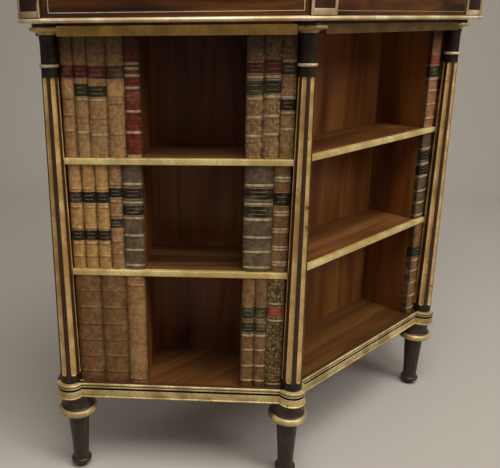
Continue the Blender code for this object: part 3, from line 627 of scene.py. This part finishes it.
# In metres: how far in a spine's crown lies, its fall to the joints, a band's lift, how far in the back lies
spine_in, fall, band_proud, board_in = 0.0046, 0.0034, 0.0009, 0.0160


def rules(low, high):
    """Lower and upper edge of each of the two gilt rules on a label."""
    third = (high - low) / 3
    return [(at - half_rule, at + half_rule) for at in (low + third, high - third)]


def spine_rows(height, labels, bands):
    """Heights of the spine's sections, so that every label, line and band has its own edges."""
    marks = [0.0, 0.6, height - 0.6, height]
    for low, high, _ in labels:
        marks += [low, low + rim, high - rim, high]
        marks += [edge for rule in rules(low, high) for edge in rule]
    for at, _ in bands:
        reach = np.array([0.8, 1.6, half_band, half_band_and_shadow])
        marks += [at, *(at - reach), *(at + reach)]
    marks += list(np.arange(6.0, height, 6.0))
    marks = np.unique(np.clip(np.round(marks, 2), 0.0, height))
    return marks[np.concatenate([[True], np.diff(marks) > 0.25])]


def add_spine(shell, side, u0, u1, floor, ceiling, spine, forward=0.0):
    """One leather spine from u0 to u1 and from the floor to the ceiling of its tier.

    Across, it falls back with the power 2.4 of the distance from its middle. Up, each band lifts it as a
    half circle.
    """
    dye, tooling, labels, bands = spine
    height = (ceiling - floor) * 1000
    rows = spine_rows(height, labels, bands)
    across = np.linspace(0, 1, 15)
    crown = np.abs(2 * across - 1)
    band_lift = np.zeros(len(rows))
    for at, _ in bands:
        band_lift = np.maximum(band_lift, np.sqrt(np.clip(1 - ((rows - at) / half_lift) ** 2, 0, 1)))
    face = spine_in - forward + fall * crown**2.4
    front = face[None, :] - band_proud * band_lift[:, None] * (1 - crown**6)[None, :]
    u = np.concatenate([u0 + (u1 - u0) * across, [u1, u0]])
    v = np.concatenate([front, np.full((len(rows), 2), board_in)], axis=1)
    z = floor + rows / 1000
    base, pale = np.array(tone(dye)), np.array(tone(PALE))
    mid = between(rows)
    colour = np.tile(base, (len(mid), len(u), 1))
    gold_part = np.full((len(mid), len(u)), tooling)
    for at, band_dye in bands:
        near = np.abs(mid - at)
        colour[near < half_band] = np.array(tone(band_dye)) * 0.85 if band_dye else base * 1.25
        # painted shade in the creases beside each band
        colour[(near > half_band) & (near < half_band_and_shadow)] = base * 0.55
        gold_part[near < half_band_and_shadow] = 0.0
    for low, high, label_dye in labels:
        on = (mid > low) & (mid < high)
        colour[on] = tone(label_dye)
        colour[on & ((mid < low + rim) | (mid > high - rim))] = pale * 0.7
        gold_part[on] = 0.1 if label_dye != PATCH else 0.6
        for bottom, top in rules(low, high):
            colour[(mid > bottom) & (mid < top), 3:11] = pale * 0.55
    # Painted highlight down each spine's middle and painted shade towards its edges and on its sides.
    shade = np.concatenate([1.10 - 0.72 * between(crown) ** 5, [0.3, 0.3, 0.3]])
    colour *= shade[None, :, None]
    flat = np.stack(np.broadcast_arrays(u[None, :], z[:, None] + u0 * 3.0), axis=-1)
    shell.loft(side.put(u[None, :], v, z[:, None]), dye=colour, tooling=gold_part, flat=flat)


boards = [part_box(node) for node in ("base_board", "front_shelf_lower", "front_shelf_upper", "carcass_top")]
tiers = [(below[1][2], above[0][2]) for below, above in zip(boards, boards[1:])]
span, cant = sides[0].span, sides[1].span
rear_reach, corner_reach, narrow_reach = 0.142, 0.0921, 0.0425  # each strip's width from the column's axis
canted = (("outer", rear_strip, rear_widths, 0.0, rear_reach),
          ("inner", corner_strip, corner_widths, cant - corner_reach, cant))
strips = {"left": canted, "right": canted,
          "front": (("left", narrow_strip, narrow_widths, 0.0, narrow_reach),
                    ("right", narrow_strip, narrow_widths, span - narrow_reach, span))}
clear, spine_gap, stand_out = 0.0004, 0.0003, 0.0040
shaft_gap, meets_in, least_beside = 0.0009, 0.0045, 0.0040
for side in sides:
    for end, strip, widths, start, stop in strips[side.name]:
        shell = Shell()
        for (floor, ceiling), spines, shares in zip(tiers, strip, widths):
            # The strip ends beside the column's shaft, where the spines meet it at the foot of the tier
            beside_square = float(shaft_radius(floor)) ** 2 - (side.recess + meets_in) ** 2
            beside = math.sqrt(max(beside_square, least_beside**2)) + shaft_gap
            u0 = beside if start == 0.0 else start + clear
            u1 = side.span - beside if start > 0.0 else stop - clear
            joints = u0 + (u1 - u0) * np.concatenate([[0], np.cumsum(shares)]) / sum(shares)
            forward = stand_out if floor < base_high else 0.0  # only the lowest spines stand out
            for spine, left, right in zip(spines, joints, joints[1:]):
                add_spine(shell, side, left + spine_gap, right - spine_gap, floor + clear, ceiling - clear,
                          spine, forward)
        shell.build(f"book_spines_{side.name}_{end}", [leather], sharp=45, painted=True,
                    replaces=[f"false_books_{side.name}_{end}"])

# Carcass top, outer back and frieze moulding
# The carcass top is a mahogany board whose edge is a flat gilt band between the capitals. Over it, past a
# dark gap, the frieze stands on a board with a gilt half-round edge. One stained pine board closes the back.

# The front band's gilding is darker than the sides': painted shade under the frieze overhang.
band_gold = {"front": gilding("front band gilding", "7c5a2a", "4a3716", "2c1a0c", 0.02)}
band_gold["left"] = band_gold["right"] = gilding("side band gilding", "c79f50", "806029", "3a2412", 0.02)
moulding_gold = gilding("moulding gilding", "f6e6bf", "b99a5c", "6a4a28", 0.02)
dress("carcass_top", flat_wood["front"])
band_end, band_wide = 0.0195, 0.0150  # its ends from the axes of the columns, and its height
band_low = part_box("carcass_top")[0][2]
band_high = band_low + band_wide
strip = np.concatenate([
    [(0.0090, band_low - 0.0002)],
    arc(0.0156, band_low + 0.0008, 0.0008, 0.0010, 270, 360, 4),
    [(0.0163, band_high - 0.0010)],
    arc(0.0155, band_high - 0.0008, 0.0009, 0.0010, 0, 90, 4),
    [(0.0090, band_high + 0.0002)],
])
for side in sides:
    u = np.linspace(band_end, side.span - band_end, 30)
    shell = Shell()
    shell.loft(side.put(u[:, None], -strip[None, :, 0] - side.recess, strip[None, :, 1]))
    shell.build(f"gilt_band_{side.name}", [band_gold[side.name]], sharp=50)

pine = mahogany("stained pine", "z", tones=("573c24", "6d4a2a", "80593a"), gloss=0.62)
dress("outer_back", pine)
(_, _, frieze_low), (_, back_inner, frieze_foot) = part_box("frieze_moulding_board")
block_proud = 0.0020  # the corner blocks stand this far off the frieze
frieze_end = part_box("frieze_post_rear_right")[1][0] - block_proud
frieze_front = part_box("drawer_front")[0][1]
past_column = 0.04255  # the frieze turns its corners this far past the column axes
front_corner_x = axis["front_right"][0] + past_column
rear_corner_y = axis["rear_right"][1] - past_column
mitre = math.tan(math.radians(22.5))


def frieze_plan(out, back):
    """Six points of the frieze's plan, mitred at the corners, for an array of distances off its faces."""
    right = [(front_corner_x + out * mitre, frieze_front - out),
             (frieze_end + out, rear_corner_y - out * mitre),
             (frieze_end + out, back + 0 * out)]
    left = [(-x, y) for x, y in right][::-1]
    return np.stack([np.stack([x, y], axis=-1) for x, y in left + right], axis=-2)


def mitred(profile, back):
    """Sections of a board whose edge has this (out, z) profile: the frieze's plan that far out, at that z."""
    plan = frieze_plan(profile[:, 0], back)
    level = np.broadcast_to(profile[:, 1][:, None, None], (*plan.shape[:2], 1))
    return np.concatenate([plan, level], axis=-1)


bead_half = (frieze_foot - frieze_low) / 2
bead = np.concatenate([
    [(-0.0020, frieze_low), (0.0006, frieze_low + 0.0004)],
    arc(0.0008, frieze_low + bead_half + 0.0002, 0.0046, bead_half - 0.0004, -72, 84, 15),
    [(0.0004, frieze_foot)],
])
shell = Shell()
shell.loft(mitred(bead, back_inner))
shell.build("gilt_frieze_moulding", [moulding_gold], replaces=["frieze_moulding_board"], sharp=40)

# Frieze
# Veneered panels between four corner posts. Each post carries a dark block in a gilt frame, over its
# column. A pale boxwood line is let into the veneer of each panel and of the drawer front.

veneer = ("241106", "512b0f", "744a17")
rosewood = mahogany("rosewood veneer", "x", 0.0, ("200f05", "4c2a0f", "6d4415"), 0.46, 0.5)
rosewood_left = mahogany("left rosewood veneer", "x", -45.0, veneer, 0.42, 0.5)
rosewood_right = mahogany("right rosewood veneer", "x", 45.0, veneer, 0.42, 0.5)
dark_veneer = mahogany("dark block veneer", "z", 0.0, ("1a0a05", "3c1f12", "54301c"), 0.45, 0.4)
post_veneer = mahogany("post veneer", "z", 0.0, ("1e0e06", "4a2812", "633a1a"), 0.4, 0.5)
for end in ("left", "right"):
    dress(f"frieze_post_front_{end}", post_veneer)
    dress(f"frieze_post_rear_{end}", post_veneer)
dress("frieze_panel_left", rosewood_left)
dress("frieze_panel_right", rosewood_right)
frieze_top, board_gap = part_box("frieze_panel_left")[1][2], 0.0003
face_low = frieze_foot + board_gap


def add_bar(shell, face, u0, u1, z0, z1, low, high, slope=0.0, finish=0):
    """Flat strip on a face, from low to high off it, whose edges slope in near the top."""
    rings = []
    for inset, off in ((0.0, low), (0.0, (low + 2 * high) / 3), (slope, high)):
        u = np.array([u0 + inset, u1 - inset, u1 - inset, u0 + inset])
        z = np.array([z0 + inset, z0 + inset, z1 - inset, z1 - inset])
        rings.append(face.put(u, off, z))
    shell.loft(np.array(rings), finish=finish, caps=finish)


block_shift = 0.0068  # the blocks stand this far from the column axes, towards the canted sides
front_x, rear_y = axis["front_right"][0] + block_shift, axis["rear_right"][1] - block_shift
faces = {
    "front_left": Face((-front_x, frieze_front), (1.0, 0.0), (0.0, -1.0)),
    "front_right": Face((front_x, frieze_front), (1.0, 0.0), (0.0, -1.0)),
    "rear_left": Face((-frieze_end, rear_y), (0.0, -1.0), (-1.0, 0.0)),
    "rear_right": Face((frieze_end, rear_y), (0.0, 1.0), (1.0, 0.0)),
}
block_half, veneer_proud = 0.03075, 0.0003
frame_wide, frame_foot, frame_proud, frame_slope = 0.0062, 0.0092, 0.0018, 0.0014
lap, frame_margin, rail_lap, rail_drop = 0.0004, 0.0006, 0.0006, 0.0001
frame_gold = gilding("frame gilding", "dcbd90", "91714a", "5a3422", 0.06)
for corner, face in faces.items():
    low, high = -block_half, block_half
    if corner == "rear_left":
        low = rear_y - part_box("frieze_post_rear_left")[1][1]
    if corner == "rear_right":
        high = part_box("frieze_post_rear_right")[1][1] - rear_y
    shell = Shell()
    z0, z1 = face_low + frame_margin, frieze_top - frame_margin
    over, top = block_proud - lap, block_proud + frame_proud
    inner_low, inner_high = low + frame_wide, high - frame_wide
    add_bar(shell, face, inner_low - lap, inner_high + lap, z0 + lap, z1, over,
            block_proud + veneer_proud, finish=1)
    for u0, u1 in ((low, inner_low), (inner_high, high)):
        add_bar(shell, face, u0, u1, z0, z1, over, top, frame_slope)
    for a, b in ((z0, z0 + frame_foot), (z1 - frame_wide, z1)):
        add_bar(shell, face, inner_low - rail_lap, inner_high + rail_lap, a, b, over, top - rail_drop,
                frame_slope)
    shell.build(f"gilt_frame_{corner}", [frame_gold, dark_veneer], sharp=30)

boxwood = plain_finish("boxwood line", "b9a58a", 0.4)
faded_boxwood = plain_finish("faded boxwood line", "8f7552", 0.45)
line_in, line_wide, line_low, line_high = 0.0062, 0.0013, -0.0006, 0.00012


def string_line(name, face, u0, u1, finish, body="cabinet"):
    """Pale line let into the veneer, as a rectangle of four thin strips that stand a hair proud."""
    shell = Shell()
    z0, z1 = face_low + line_in, frieze_top - line_in
    for a, b in ((z0, z0 + line_wide), (z1 - line_wide, z1)):
        add_bar(shell, face, u0, u1, a, b, line_low, line_high)
    for a, b in ((u0, u0 + line_wide), (u1 - line_wide, u1)):
        add_bar(shell, face, a, b, z0 + line_wide, z1 - line_wide, line_low, line_high)
    shell.build(name, [finish], body=body)


run = float(np.hypot(frieze_end - front_corner_x, rear_corner_y - frieze_front))
left_face = Face((-frieze_end, rear_corner_y), (half_root, -half_root), (-half_root, -half_root))
right_face = Face((front_corner_x, frieze_front), (half_root, half_root), (half_root, -half_root))
from_rear, from_front = 0.008, 0.004  # the line's distance from the two ends of its panel
string_line("boxwood_line_left", left_face, from_rear, run - from_front, boxwood)
string_line("boxwood_line_right", right_face, from_front, run - from_rear, boxwood)

# Drawer
# The front frieze panel is a drawer front, veneered and strung like the panels, with two turned gilt
# knobs pegged into it. Its sides, back and bottom are pale oak, and it runs between two fixed guides.

oak = mahogany("drawer oak", "x", 0.0, ("6b4c2c", "97734a", "b08c5f"), 0.6)
dress("drawer_front", rosewood)
for node in ("drawer_side_left", "drawer_side_right", "drawer_back", "drawer_bottom", "drawer_guide_left",
             "drawer_guide_right"):
    dress(node, oak)
drawer_low, drawer_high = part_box("drawer_front")
drawer_face = Face((0.0, frieze_front), (1.0, 0.0), (0.0, -1.0))
line_margin = 0.0008
string_line("boxwood_line_drawer", drawer_face, drawer_low[0] + line_margin, drawer_high[0] - line_margin,
            faded_boxwood, body="drawer")
knob_profile = np.concatenate([
    [(0.0045, 0.0), (0.0060, 0.0002), (0.0061, 0.0012), (0.0042, 0.0024), (0.0036, 0.0045), (0.0040, 0.0068)],
    arc(0.0050, 0.0112, 0.0050, 0.0038, -70, 70, 11),
    [(0.0052, 0.0158), (0.0030, 0.0166), (0.0008, 0.0169)],
])
for end in ("left", "right"):
    low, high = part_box(f"drawer_knob_{end}")
    turn = np.linspace(0, 2 * np.pi, 48, endpoint=False)
    x = (low[0] + high[0]) / 2 + np.outer(knob_profile[:, 0], np.cos(turn))
    z = (low[2] + high[2]) / 2 + np.outer(knob_profile[:, 0], np.sin(turn))
    y = np.broadcast_to(high[1] - knob_profile[:, 1:2], x.shape)
    shell = Shell()
    shell.loft(np.stack([x, y, z], axis=-1))
    shell.build(f"turned_knob_{end}", [gold], body="drawer", sharp=40,
                replaces=[f"drawer_knob_{end}"])

# Top board
# Rosewood veneer over pine, with an ebonised thumb moulding along the front and the canted sides. Screwed
# down from inside the frieze.

(_, _, top_low), (_, top_back, top_high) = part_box("top_board")
thumb = np.concatenate([
    [(0.0108, top_low), (0.0112, top_low + 0.0006), (0.0122, top_low + 0.0034), (0.0140, top_low + 0.0042)],
    arc(0.0140, top_low + 0.0127, 0.0060, 0.0085, -78, 84, 19),
    [(0.0130, top_high - 0.0006), (0.0118, top_high)],
])
shell = Shell()
shell.loft(mitred(thumb, top_back), finish=1)
shell.build("veneered_top", [rosewood, black], replaces=["top_board"], sharp=40)

# Floor, backdrop, light and camera
# A pale grey paper sweep, large soft lamps above, in front and at the left, a small one on the paper
# behind, and the photograph's viewing angle.

# The sweep's profile is (distance back, height), drawn out sideways; back is away from the camera
sweep = np.concatenate([
    [(-4.0, 0.0), (0.5, 0.0), (0.9, 0.0)],
    arc(1.5, 1.2, 0.9, 1.2, -90, 0, 16)[1:],
    [(2.4, 3.4)],
])
direction, across = np.array([half_root, half_root]), np.array([half_root, -half_root])
wide = np.linspace(-4.0, 4.0, 9)
plan = sweep[:, None, 0, None] * direction + wide[None, :, None] * across
points = np.concatenate([plan, np.broadcast_to(sweep[:, None, 1, None], (*plan.shape[:2], 1))], axis=-1)
rows, cols = points.shape[:2]
index = np.arange(rows * cols).reshape(rows, cols)
quads = np.stack([index[:-1, :-1], index[:-1, 1:], index[1:, 1:], index[1:, :-1]], axis=-1).reshape(-1, 4)
mesh = bpy.data.meshes.new("studio sweep")
mesh.from_pydata(points.reshape(-1, 3).tolist(), [], quads[:, ::-1].tolist())
mesh.shade_smooth()
paper = Finish("grey paper", tone("bbb3a8"), 0.9)
paper.set(paper.shader, {"Specular IOR Level": 0.1})
mesh.materials.append(paper.material)
floor = bpy.data.objects.new("studio sweep", mesh)
bpy.context.scene.collection.objects.link(floor)

world = bpy.data.worlds.new("studio")
bpy.context.scene.world = world
world.use_nodes = True
world.node_tree.nodes["Background"].inputs["Color"].default_value = (*tone("d6d2cc"), 1.0)
world.node_tree.nodes["Background"].inputs["Strength"].default_value = 0.22


def softbox(name, at, aim, wide, high, power):
    """Area lamp of this size in metres, turned to face a point."""
    lamp = bpy.data.lights.new(name, "AREA")
    lamp.shape, lamp.size, lamp.size_y, lamp.energy = "RECTANGLE", wide, high, power
    made = bpy.data.objects.new(name, lamp)
    away = Vector(at) - Vector(aim)
    made.matrix_world = Matrix.Translation(at) @ away.to_track_quat("Z", "Y").to_matrix().to_4x4()
    bpy.context.scene.collection.objects.link(made)


softbox("overhead", (-0.60, -0.90, 2.60), (0.0, 0.0, 0.5), 1.6, 1.2, 47.0)
softbox("front", (0.50, -2.10, 2.05), (0.1, 0.0, 0.5), 1.3, 1.0, 27.0)
softbox("left", (-2.2, 0.2, 1.6), (-0.1, 0.1, 0.5), 1.2, 1.2, 3.5)
softbox("backdrop", (0.4, 0.9, 2.4), (1.7, 1.7, 0.6), 1.4, 0.8, 6.5)

lens = bpy.data.cameras.new("camera")
lens.sensor_width, lens.lens = 36.0, 43.226
lens.shift_x, lens.shift_y = 0.1392, -0.0586
camera = bpy.data.objects.new("camera", lens)
bpy.context.scene.collection.objects.link(camera)
tilt, roll = math.radians(90 - 16.852), math.radians(-0.564)
place = (-0.9841, -0.7174, 0.8149)
camera.matrix_world = (Matrix.Translation(place) @ Matrix.Rotation(math.radians(-40.57), 4, "Z")
                       @ Matrix.Rotation(tilt, 4, "X") @ Matrix.Rotation(roll, 4, "Z"))
bpy.context.scene.camera = camera
bpy.context.scene.view_settings.view_transform = "Standard"
